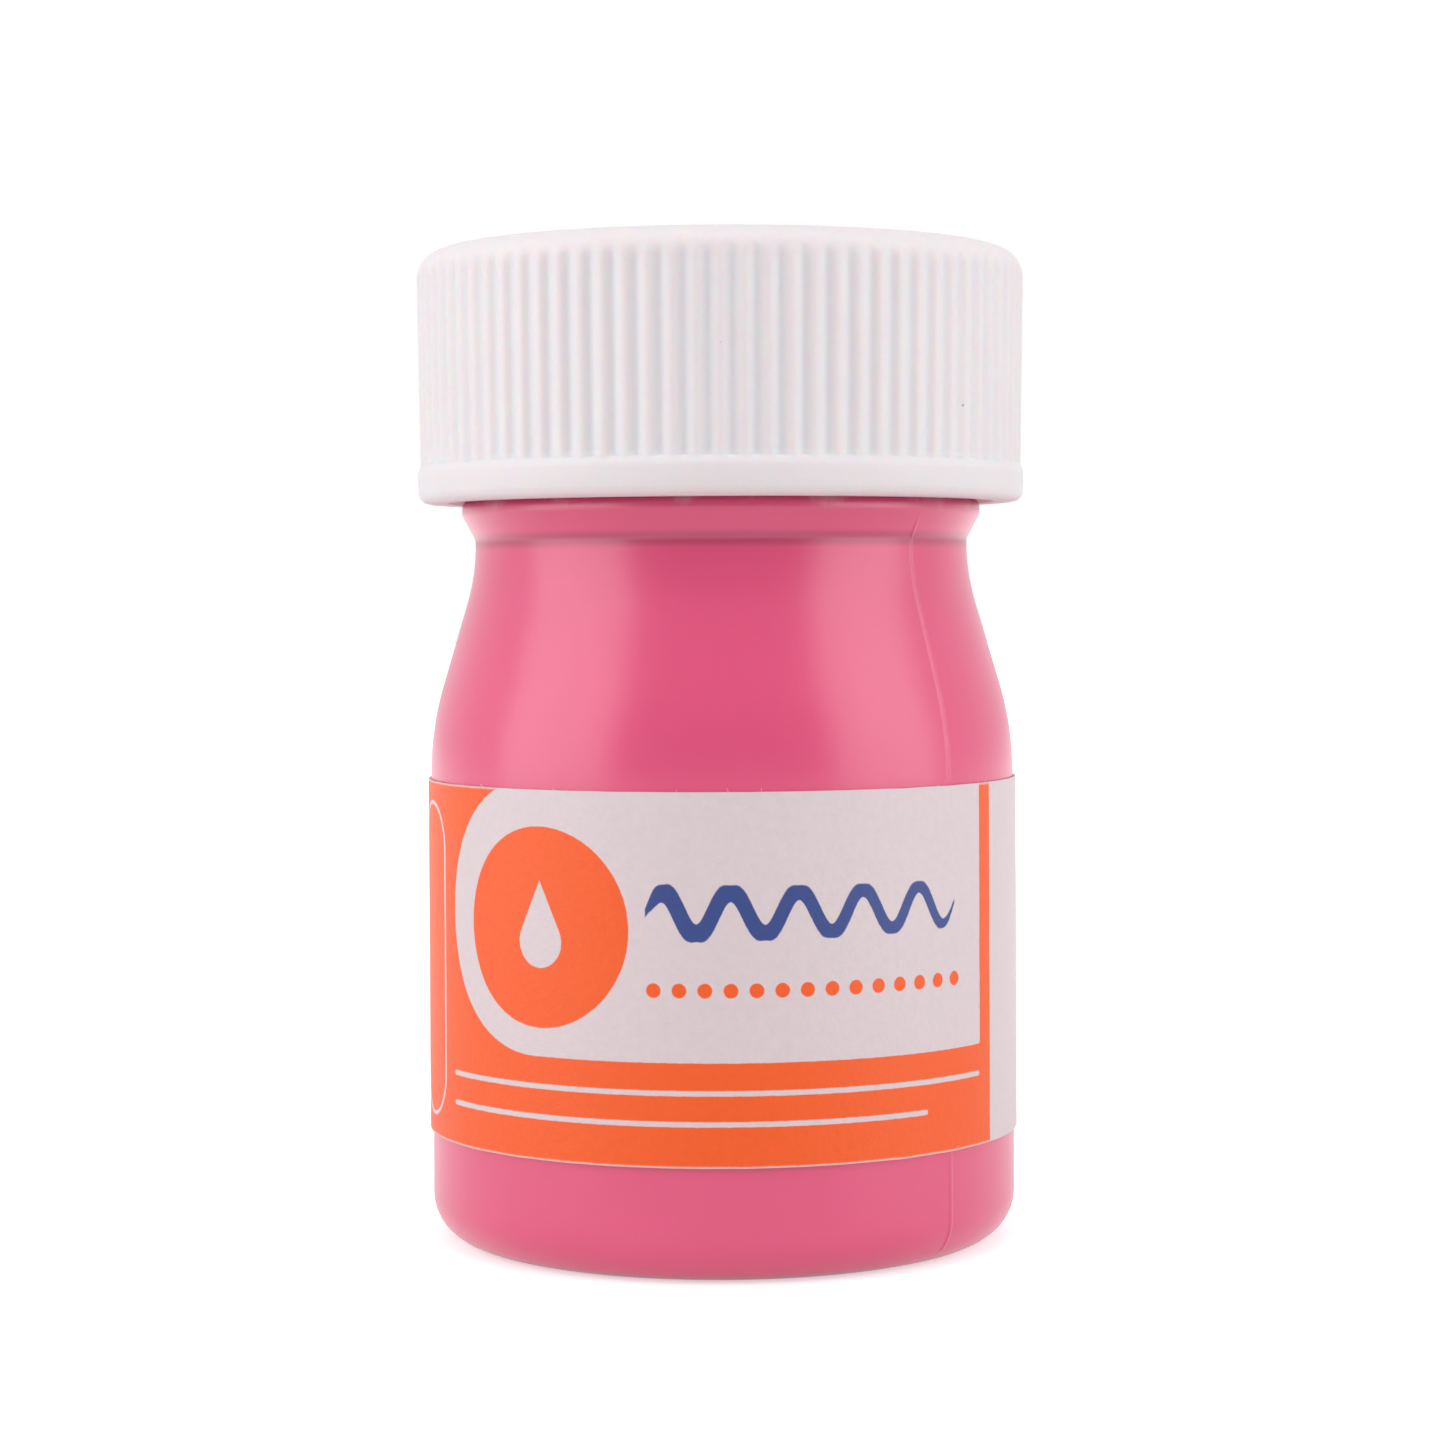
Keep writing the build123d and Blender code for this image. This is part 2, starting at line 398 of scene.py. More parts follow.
def bottle_angles():
    """Even angles, closer together over the two lines of the mould seam."""
    angles = [math.tau * k / 240 for k in range(240)]
    for line in (SEAM_ANGLE, SEAM_ANGLE + 180):
        seam = math.radians(line) % math.tau
        angles = [a for a in angles if abs(a - seam) > 0.016]
        step = SEAM_HALF_WIDTH / BODY_RADIUS / 2
        angles += [(seam + step * k) % math.tau for k in range(-3, 4)]
    return sorted(angles)


class PAINTJAR_OT_bottle(bpy.types.Operator):
    """Build the bottle with its neck, thread, bead, seam and push-up"""

    bl_idname = "paintjar.bottle"
    bl_label = "Bottle"

    def execute(self, context):
        sizes = context.scene.paint_jar_sizes
        colours = context.scene.paint_jar_colours
        body = BOTTLE_HIGH[0] / MM
        lip = BOTTLE_HIGH[2] / MM
        wall = sizes.wall / MM
        heel = sizes.heel / MM
        rise = sizes.push_up / MM
        outline = rounded(
            [
                (0, rise, 0),
                (PUSH_UP_EDGE, rise, 20),
                (FOOT_RING_RADIUS, 0, 4),
                (body, 0, heel),
                (body, SHOULDER_FOOT, 16),
                (WAIST_RADIUS, SHOULDER_TOP, 11),
                (WAIST_RADIUS, WAIST_TOP, 0.5),
                (BEAD_RADIUS, BEAD_FOOT, 0.5),
                (BEAD_RADIUS, BEAD_TOP, 0.5),
                (NECK_RADIUS, NECK_FOOT, 0.4),
                (NECK_RADIUS, lip, 0.3),
                (NECK_BORE, lip, 0.3),
                (NECK_BORE, BEAD_TOP, 2),
                (WAIST_RADIUS - wall, SHOULDER_TOP, 12),
                (body - wall, SHOULDER_FOOT, 15),
                (body - wall, wall, heel - wall),
                (FOOT_RING_RADIUS, wall, 4),
                (PUSH_UP_EDGE, rise + wall, 20),
                (0, rise + wall, 0),
            ],
            0.42,
        )
        outside = np.arange(len(outline)) <= int(np.argmax(outline[:, 1]))
        outside = outside[1:-1, None]
        label_low, label_high = LABEL_LOW[2] / MM, LABEL_HIGH[2] / MM

        def shape(radius, height, angle):
            start = lip - LIP_TO_THREAD - NECK_TURNS * PITCH
            ridge = thread_height(
                height, angle, start, NECK_THREAD_ANGLE, NECK_TURNS, NECK_THREAD_DEPTH
            )
            on_neck = outside & (height > NECK_FOOT) & (height < lip - 0.35)
            off_seam = np.abs(np.sin(angle - math.radians(SEAM_ANGLE))) * BODY_RADIUS
            off_seam = np.clip(1 - off_seam / SEAM_HALF_WIDTH, 0, 1)
            bare = ((height > label_high + 0.3) | (height < label_low - 0.3)) & (height > 0.6)
            seam = off_seam * SEAM_HEIGHT * (outside & bare & (height < 37.2) & (radius > 12))
            on_side = outside & (radius > 12.6) & (height > 1.2) & (height < 38)
            swell = 0.035 * waves(angle, height, 1.6, 0.11, 3.0) * on_side
            steps = 0.006 * waves(angle, height, 0.8, 1.4, 9.0) * (on_side & (height < 9))
            return radius + ridge * on_neck + seam + (swell + steps) * (height < 36), height

        piece = turned("bottle_shell", outline, bottle_angles(), shape)
        finish_piece(piece, "bottle", "bottle", self.plastic(colours))
        return {"FINISHED"}

    def plastic(self, colours):
        """Satin blown plastic: tinted by the paint up to the bead, milky on the neck."""
        made = Finish(
            "blown_plastic", Subsurface_Weight=0.12, Subsurface_Scale=0.0008, Coat_Roughness=0.25,
            Coat_Weight=0.15, IOR=1.5,
        )
        x, y, z = made.parts(made.place)
        radius = made.maths("SQRT", x * x + y * y)
        cloud = made.grain(0.16, 2.0)
        tint = made.mix(cloud * 0.6, tuple(colours.bottle), tuple(c * 0.86 for c in colours.bottle))
        # Painted shade: the base colour is darkened in the groove between the shoulder and the bead,
        # under the cap.
        groove_shade = made.ramp(abs(z - WAIST_MIDDLE), 0.55, 0.1) * made.ramp(radius, 12.5, 12.7)
        tint = made.mix(groove_shade * 0.75, tint, tuple(c * 0.55 for c in colours.bottle))
        smear = made.grain(0.35, 4.0, (1.0, 1.0, 0.4), 0.6)
        line = z + smear * 3.0
        bare = made.ramp(line, 39.6, 41.4)
        inside = made.ramp(radius, 11.75, 11.55) * made.ramp(z, 33.0, 34.0)
        coated = inside * made.ramp(smear - (z - 36.0) * 0.03, 0.36, 0.44)
        bare = bare * (1 - coated)
        made.feed("Base Color", made.mix(bare, tint, tuple(colours.plastic)))
        made.feed("Roughness", 0.27 + cloud * 0.04 - coated * 0.1)
        made.feed("Normal", made.bump(made.grain(2.5, 2.0), 0.002))
        return made.material


class PAINTJAR_OT_cap(bpy.types.Operator):
    """Build the screw cap with its ribs, foot band and inner thread"""

    bl_idname = "paintjar.cap"
    bl_label = "Cap"

    def execute(self, context):
        sizes = context.scene.paint_jar_sizes
        colours = context.scene.paint_jar_colours
        low, top = CAP_LOW[2] / MM, CAP_HIGH[2] / MM
        ceiling = WAD_HIGH[2] / MM
        band = low + BAND_HEIGHT
        outline = rounded(
            [
                (0, ceiling, 0),
                (SKIRT_RADIUS, ceiling, 0.25),
                (SKIRT_RADIUS, low + 0.3, 0.2),
                (SKIRT_RADIUS + 0.3, low, 0.1),
                (15.80, low, 0.55),
                (15.85, band - 0.3, 0.6),
                (15.70, band, 0.3),
                (15.87, top, 1.4),
                (GATE_RADIUS + 0.5, top, 2.0),
                (GATE_RADIUS, top - GATE_DEPTH, 0.1),
                (0, top - GATE_DEPTH, 0),
            ],
            0.32,
        )
        outline = self.thinned(outline)
        angles = [math.tau * k / (8 * sizes.rib_count) for k in range(8 * sizes.rib_count)]
        lip = BOTTLE_HIGH[2] / MM
        lead = (CAP_THREAD_ANGLE - NECK_THREAD_ANGLE) / 360
        start = lip - LIP_TO_THREAD - NECK_TURNS * PITCH + lead * PITCH - CAP_THREAD_DROP

        def shape(radius, height, angle):
            ridge = thread_height(
                height, angle, start, CAP_THREAD_ANGLE, CAP_TURNS, CAP_THREAD_DEPTH
            )
            on_wall = (np.abs(radius - SKIRT_RADIUS) < 0.01) & (height < ceiling - 0.4)
            return radius - ridge * on_wall, height

        plain = turned("cap_shell", outline, angles, shape)
        tree = self.rib_tree(self.plastic(colours))
        values = {
            "Ribs": sizes.rib_count,
            "Depth": sizes.rib_depth,
            "Foot": band * MM,
            "Shoulder": (top - 1.2) * MM,
            "Inner radius": 14.95 * MM,
        }
        grown = run_tree(plain, tree, values)
        finish_piece(grown, "cap", "cap", None)
        return {"FINISHED"}

    def thinned(self, outline):
        """The outline without most of the points of its two flat rounds, which need few."""
        keep = []
        for index, (r, z) in enumerate(outline):
            flat = r < 13.2 and 0 < index < len(outline) - 1
            if not flat or index % 6 == 0 or 1.3 < r < 2.4:
                keep.append((r, z))
        return np.array(keep)

    def rib_tree(self, material):
        """Geometry nodes that press soft grooves between ribs into the side of a turned cap."""
        tree = bpy.data.node_groups.new("cap_ribs", "GeometryNodeTree")
        face = tree.interface
        face.new_socket("Geometry", in_out="INPUT", socket_type="NodeSocketGeometry")
        face.new_socket("Ribs", in_out="INPUT", socket_type="NodeSocketInt")
        for name in ("Depth", "Foot", "Shoulder", "Inner radius"):
            face.new_socket(name, in_out="INPUT", socket_type="NodeSocketFloat")
        face.new_socket("Geometry", in_out="OUTPUT", socket_type="NodeSocketGeometry")
        graph = Graph(tree)
        given = graph.node("NodeGroupInput").outputs
        ribs, depth, foot, shoulder, inner = (Number(graph, given[k]) for k in range(1, 6))
        place = graph.node("GeometryNodeInputPosition").outputs[0]
        x, y, z = graph.parts(place)
        radius = graph.maths("SQRT", x * x + y * y)
        angle = graph.maths("ARCTAN2", y, x)
        wave = 0.5 - graph.maths("COSINE", angle * ribs) * 0.5
        groove = graph.maths("POWER", wave, 1.2)
        rising = graph.ramp(z, foot - 0.02 * MM, foot + 0.1 * MM)
        ending = graph.ramp(z, shoulder + 0.5 * MM, shoulder - 0.5 * MM)
        outside = graph.maths("GREATER_THAN", radius, inner)
        amount = groove * rising * ending * outside * depth * -1
        outward = graph.vector("NORMALIZE", graph.vector("MULTIPLY", place, (1, 1, 0)))
        offset = graph.vector("SCALE", outward, Scale=amount.socket)
        moved = graph.node("GeometryNodeSetPosition", {}, {"Geometry": given[0], "Offset": offset})
        real = graph.node("GeometryNodeRealizeInstances", {}, {0: moved.outputs[0]})
        inputs = {"Geometry": real.outputs[0], "Material": material}
        painted = graph.node("GeometryNodeSetMaterial", {}, inputs)
        graph.node("NodeGroupOutput", {}, {0: painted.outputs[0]})
        return tree

    def plastic(self, colours):
        """White moulded plastic with a faint mottle and a few specks of dust."""
        made = Finish(
            "cap_plastic", Subsurface_Weight=0.7, Subsurface_Scale=0.0012, IOR=1.49,
        )
        cloud = made.grain(0.25, 3.0)
        base = made.mix(cloud, tuple(colours.cap), tuple(c * 0.96 for c in colours.cap))
        dust = made.specks(0.75, 0.07, 0.045)
        scuff = made.ramp(made.grain(0.9, 5.0, (1, 1, 0.6), 0.7), 0.63, 0.74)
        tinted = made.mix(scuff * 0.12, base, (0.62, 0.54, 0.52))
        made.feed("Base Color", made.mix(dust * 0.7, tinted, (0.12, 0.09, 0.09)))
        made.feed("Roughness", 0.5 + cloud * 0.12 + scuff * 0.1)
        made.feed("Normal", made.bump(made.grain(9.0, 2.0), 0.003))
        return made.material


def run_tree(plain, tree, values):
    """Runs a geometry tree once on an object and returns the result as a plain mesh object."""
    modifier = plain.modifiers.new("growth", "NODES")
    modifier.node_group = tree
    for item in tree.interface.items_tree:
        if item.item_type == "SOCKET" and item.in_out == "INPUT" and item.name in values:
            modifier[item.identifier] = values[item.name]
    graph = bpy.context.evaluated_depsgraph_get()
    graph.update()
    mesh = bpy.data.meshes.new_from_object(plain.evaluated_get(graph))
    plain.modifiers.remove(modifier)
    old = plain.data
    plain.data = mesh
    mesh.name = plain.name
    bpy.data.meshes.remove(old)
    return plain


class PAINTJAR_OT_wad(bpy.types.Operator):
    """Build the foam sealing wad with the print of the lip"""

    bl_idname = "paintjar.wad"
    bl_label = "Sealing wad"

    def execute(self, context):
        sizes = context.scene.paint_jar_sizes
        colours = context.scene.paint_jar_colours
        rim = WAD_HIGH[0] / MM
        low, high = WAD_LOW[2] / MM, WAD_HIGH[2] / MM
        outline = rounded([(0, low, 0), (rim, low, 0.15), (rim, high, 0.1), (0, high, 0)], 0.25)

        def shape(radius, height, angle):
            under = height < (low + high) / 2
            beside = np.abs(radius - LIP_MIDDLE_RADIUS) - LIP_HALF_WIDTH
            swell = sizes.wad_print / MM * (beside > 0)
            bulge = np.minimum(np.abs(beside) / 0.3, 1)
            grain = 0.01 * waves(angle, height, radius.max() * 0.3, 1.0, 5.0)
            return radius, height - under * (radius < rim - 0.4) * (swell * bulge + grain)

        piece = turned("wad_disc", outline, [math.tau * k / 160 for k in range(160)], shape)
        made = Finish("wad_foam", Subsurface_Weight=0.2, Subsurface_Scale=0.0005, IOR=1.45)
        x, y, z = made.parts(made.place)
        radius = made.maths("SQRT", x * x + y * y)
        smear = made.grain(0.3, 5.0, None, 0.65)
        ring = made.ramp(abs(radius - LIP_MIDDLE_RADIUS - 0.05), 1.1, 0.5) * made.ramp(smear, 0.42, 0.55)
        drops = made.ramp(made.grain(0.22, 3.0), 0.66, 0.69)
        wet = made.largest(ring, drops) * made.ramp(z, high - 0.3, high - 0.5)
        made.feed("Base Color", made.mix(wet, tuple(colours.wad), tuple(colours.paint)))
        made.feed("Roughness", 0.75 - wet * 0.45)
        cells = made.node("ShaderNodeTexVoronoi", {}, {"Vector": made.place, "Scale": 5.0})
        height = Number(made, cells.outputs["Distance"])
        made.feed("Normal", made.bump(height, 0.05))
        finish_piece(piece, "wad", "sealing_wad", made.material)
        return {"FINISHED"}


class PAINTJAR_OT_paint(bpy.types.Operator):
    """Build the paint with its wet surface"""

    bl_idname = "paintjar.paint"
    bl_label = "Paint"

    def execute(self, context):
        sizes = context.scene.paint_jar_sizes
        colours = context.scene.paint_jar_colours
        side = PAINT_HIGH[0] / MM
        floor = PAINT_LOW[2] / MM
        level = PAINT_LEVEL
        climb = sizes.meniscus / MM
        rim = PAINT_RIM_RADIUS
        outline = rounded(
            [
                (0, floor + sizes.push_up / MM, 0),
                (PUSH_UP_EDGE, floor + sizes.push_up / MM, 20),
                (FOOT_RING_RADIUS, floor, 4),
                (side, floor, 1.8),
                (side, SHOULDER_FOOT, 15),
                (rim + 0.02, SHOULDER_TOP - 0.2, 6),
                (rim - 0.04, level + climb, 0.04),
                (rim - 0.9, level, 1.2),
                (0, level, 0),
            ],
            0.45,
        )

        def shape(radius, height, angle):
            surface = (height > level - 0.2) & (radius < rim - 0.3)
            ripple = 0.16 * waves(angle, radius, 0.55, 0.35, 2.0)
            away = (radius * np.cos(angle) - 3) ** 2 + (radius * np.sin(angle) + 2) ** 2
            peak = 0.5 * np.exp(-away / 3)
            settle = np.clip((rim - 0.3 - radius) / 2, 0, 1)
            return radius, height + surface * settle * (ripple + peak * 0.4)

        piece = turned("paint_fill", outline, [math.tau * k / 144 for k in range(144)], shape)
        made = Finish(
            "wet_paint", Subsurface_Weight=0.1, Subsurface_Scale=0.0006, IOR=1.5, Coat_Weight=0.8,
            Coat_Roughness=0.04,
        )
        swirl = made.grain(0.18, 4.0, None, 0.6)
        pale = tuple(min(1.0, c * 1.25 + 0.02) for c in colours.paint)
        made.feed("Base Color", made.mix(swirl * 0.5, tuple(colours.paint), pale))
        made.feed("Roughness", 0.16 + swirl * 0.12)
        made.feed("Normal", made.bump(made.grain(0.5, 3.0), 0.05))
        finish_piece(piece, "bottle", "paint", made.material)
        return {"FINISHED"}


class Artwork(Finish):
    """Label print: flat shapes in millimetres on the unrolled label, from its bottom centre."""

    def __init__(self, name, wrap, tall, **constants):
        super().__init__(name, **constants)
        along, up, _ = self.parts(self.flat)
        self.u = (along - 0.5) * wrap
        self.v = up * tall
        wobble = (self.grain(4.0, 2.0) - 0.5) * 0.05
        self.blur = 0.035
        self.wobble = wobble

    def mask(self, distance):
        """Ink where a signed distance is below zero."""
        return self.ramp(distance + self.wobble, self.blur, -self.blur)

    def box(self, left, low, right, high, rounding):
        """Signed distance to a rounded box."""
        out_u = abs(self.u - (left + right) / 2) - ((right - left) / 2 - rounding)
        out_v = abs(self.v - (low + high) / 2) - ((high - low) / 2 - rounding)
        past_u, past_v = self.largest(out_u, 0.0), self.largest(out_v, 0.0)
        corner = self.maths("SQRT", past_u * past_u + past_v * past_v)
        return corner + self.smallest(self.largest(out_u, out_v), 0.0) - rounding

    def disc(self, u, v, radius, pitch=None, span=None):
        """Signed distance to a disc, or to a row of discs that starts there and runs along."""
        across = self.u - u
        if pitch:
            nearest = self.maths("ROUND", across / pitch)
            nearest = self.smallest(self.largest(nearest, 0.0), round(span / pitch))
            across = across - nearest * pitch
        up = self.v - v
        return self.maths("SQRT", across * across + up * up) - radius


class PAINTJAR_OT_label(bpy.types.Operator):
    """Build the printed paper label and the loose fibres on its cut edges"""

    bl_idname = "paintjar.label"
    bl_label = "Label"

    def execute(self, context):
        sizes = context.scene.paint_jar_sizes
        colours = context.scene.paint_jar_colours
        outer = LABEL_HIGH[0] / MM
        inner = outer - LABEL_THICKNESS
        low, high = LABEL_LOW[2] / MM, LABEL_HIGH[2] / MM
        wrap = math.tau - sizes.label_gap
        columns, rows = 300, 26
        turns = [wrap * (k / columns - 0.5) for k in range(columns + 1)]
        heights = [low + (high - low) * k / rows for k in range(rows + 1)]
        points, faces, flat = [], [], []
        for layer in (outer, inner):
            for z in heights:
                for t in turns:
                    at_edge = abs(z - (low + high) / 2) > 8
                    edge = 0.03 * noise.noise((t * 9, z * 0.01, 4.0)) * at_edge
                    lift = 0.02 * noise.noise((t * 3.0, z * 0.35, 1.0)) if layer == outer else 0.0
                    tip = max(0.0, abs(t) - wrap / 2 + 0.03) / 0.03
                    r = layer + min(0.0, lift) + 0.02 * tip
                    height = z + min(edge, 0)
                    points.append((r * math.sin(t) * MM, -r * math.cos(t) * MM, height * MM))
                    flat.append((t / wrap + 0.5, (z - low) / (high - low)))
        wide = columns + 1
        count = wide * (rows + 1)
        for i in range(rows):
            for j in range(columns):
                a = i * wide + j
                faces.append((a, a + 1, a + wide + 1, a + wide))
                faces.append((count + a, count + a + wide, count + a + wide + 1, count + a + 1))
        for j in range(columns):
            faces.append((j + 1, j, count + j, count + j + 1))
            a = rows * wide + j
            faces.append((a, a + 1, count + a + 1, count + a))
        for i in range(rows):
            a = i * wide
            faces.append((a, a + wide, count + a + wide, count + a))
            a = i * wide + columns
            faces.append((a + wide, a, count + a, count + a + wide))
        piece = mesh_object("label_sheet", points, faces)
        layer = piece.data.uv_layers.new(name="unrolled")
        for loop in piece.data.loops:
            layer.data[loop.index].uv = flat[loop.vertex_index]
        paper = self.paper(colours, wrap * outer, high - low)
        piece.data.set_sharp_from_angle(angle=math.radians(50))
        finish_piece(piece, "bottle", "label", paper)
        self.fibres(turns, low, high, outer, sizes, colours)
        return {"FINISHED"}

    def paper(self, colours, wrap, tall):
        """Printed paper: a ground colour with a pale panel, a disc, a brush stroke and rules."""
        made = Artwork("printed_paper", wrap, tall, IOR=1.45)
        round_part = made.box(-16.5, 5.1, 1.0, 18.7, 6.6)
        square_part = made.box(-9.0, 5.1, 15.27, 19.0, 0.15)
        panel = made.mask(made.smallest(round_part, square_part))
        side = made.mask(16.39 - made.u)
        far = made.mask(made.u + 27.0)
        pale = made.largest(panel, side, far)
        disc = made.mask(made.disc(-9.6, 11.45, 4.95))
        drop_tip = 13.75
        lean = math.asin(1.3 / 3.0)
        wedge = abs(made.u + 9.6) * math.cos(lean) - (drop_tip - made.v) * math.sin(lean)
        wedge = made.largest(wedge, (10.75 + 1.3 * math.sin(lean)) - made.v)
        drop = made.mask(made.smallest(wedge, made.disc(-9.6, 10.75, 1.3)))
        along = made.u + 3.8
        phase = along * (math.tau / 3.35)
        crest = made.maths("SINE", phase) * 0.95 + 12.35
        slope = made.maths("COSINE", phase) * (0.95 * math.tau / 3.35)
        steep = made.maths("SQRT", slope * slope + 1.0)
        taper = made.ramp(along, -0.1, 0.9) * made.ramp(along, 16.9, 15.6)
        thick = (0.46 - along * 0.012) * (taper * 0.8 + 0.2)
        ends = abs(along - 8.4) - 8.4
        stroke = made.mask(made.largest(abs(made.v - crest) / steep - thick, ends))
        dots = made.mask(made.disc(-3.4, 8.6, 0.36, 1.26, 16.4))
        long_rule = made.box(-16.6, 3.5, 15.2, 3.76, 0.13)
        short_rule = made.box(-16.6, 2.0, 11.0, 2.26, 0.13)
        rules = made.smallest(long_rule, short_rule)
        capsule = abs(made.box(-22.6, 1.1, -17.9, 17.1, 2.3)) - 0.1
        lines = made.mask(made.smallest(rules, capsule))
        swatch = made.mask(made.box(23.0, 3.0, 41.0, 15.5, 1.2))
        ground = made.mix(pale, tuple(colours.label), tuple(colours.paper))
        ground = made.mix(disc, ground, tuple(colours.label))
        ground = made.mix(made.largest(drop, lines), ground, tuple(colours.paper))
        ground = made.mix(stroke, ground, tuple(colours.ink))
        ground = made.mix(dots, ground, tuple(colours.label))
        ground = made.mix(swatch, ground, tuple(colours.bottle))
        up = made.v + made.wobble
        bare = made.largest(made.ramp(up, 0.14, 0.04), made.ramp(up, tall - 0.14, tall - 0.04))
        ground = made.mix(bare * 0.7, ground, tuple(colours.paper))
        crinkle = made.grain(2.4, 5.0, None, 0.62)
        fuzz = made.grain(11.0, 3.0, None, 0.6)
        shade = made.mix(crinkle, (0.93, 0.93, 0.93), (1.06, 1.06, 1.06))
        settings = {"data_type": "RGBA", "blend_type": "MULTIPLY"}
        printed = made.node("ShaderNodeMix", settings, {0: 1.0, 6: ground, 7: shade})
        made.feed("Base Color", printed.outputs[2])
        made.feed("Roughness", 0.4 + crinkle * 0.16)
        relief = made.bump(crinkle, 0.035, made.bump(fuzz, 0.012))
        made.feed("Normal", relief)
        return made.material

    def fibres(self, turns, low, high, outer, sizes, colours):
        """Short paper fibres standing off the cut edges, grown by geometry nodes."""
        points = []
        for z in (low + 0.03, high - 0.03):
            points += [(outer * math.sin(t) * MM, -outer * math.cos(t) * MM, z * MM) for t in turns]
        edges = mesh_object("label_fibres", points, [])
        made = Finish("paper_fibre", IOR=1.45, Roughness=0.8)
        tone = made.grain(3.0)
        made.feed("Base Color", made.mix(tone, tuple(colours.paper), (0.9, 0.82, 0.82)))
        tree = bpy.data.node_groups.new("edge_fibres", "GeometryNodeTree")
        face = tree.interface
        face.new_socket("Geometry", in_out="INPUT", socket_type="NodeSocketGeometry")
        face.new_socket("Share", in_out="INPUT", socket_type="NodeSocketFloat")
        face.new_socket("Length", in_out="INPUT", socket_type="NodeSocketFloat")
        face.new_socket("Geometry", in_out="OUTPUT", socket_type="NodeSocketGeometry")
        graph = Graph(tree)
        given = graph.node("NodeGroupInput").outputs
        arc = graph.node(
            "GeometryNodeCurveQuadraticBezier",
            {},
            {"Resolution": 4, "Start": (0, 0, 0), "Middle": (0.1, 0, 0.5), "End": (0.45, 0.1, 0.9)},
        )
        ring = graph.node("GeometryNodeCurvePrimitiveCircle", {}, {"Resolution": 4, "Radius": 0.03})
        tube = graph.node(
            "GeometryNodeCurveToMesh", {}, {0: arc.outputs[0], 1: ring.outputs[0], "Fill Caps": True}
        )
        chosen = graph.node(
            "FunctionNodeRandomValue", {"data_type": "BOOLEAN"}, {"Probability": given[1], "Seed": 5}
        )
        turn = graph.node(
            "FunctionNodeRandomValue",
            {"data_type": "FLOAT_VECTOR"},
            {0: (-1.1, -1.1, 0.0), 1: (1.1, 1.1, math.tau), "Seed": 8},
        )
        spread = {2: 0.25, 3: 1.0, "Seed": 3}
        grow = graph.node("FunctionNodeRandomValue", {"data_type": "FLOAT"}, spread)
        length = Number(graph, grow.outputs[1]) * Number(graph, given[2])
        placed = graph.node(
            "GeometryNodeInstanceOnPoints",
            {},
            {
                "Points": given[0],
                "Selection": chosen.outputs[3],
                "Instance": tube.outputs[0],
                "Rotation": turn.outputs[0],
                "Scale": length,
            },
        )
        real = graph.node("GeometryNodeRealizeInstances", {}, {0: placed.outputs[0]})
        painted = graph.node(
            "GeometryNodeSetMaterial", {}, {"Geometry": real.outputs[0], "Material": made.material}
        )
        graph.node("NodeGroupOutput", {}, {0: painted.outputs[0]})
        grown = run_tree(edges, tree, {"Share": 0.1, "Length": sizes.fibre_length})
        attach(grown, "bottle")


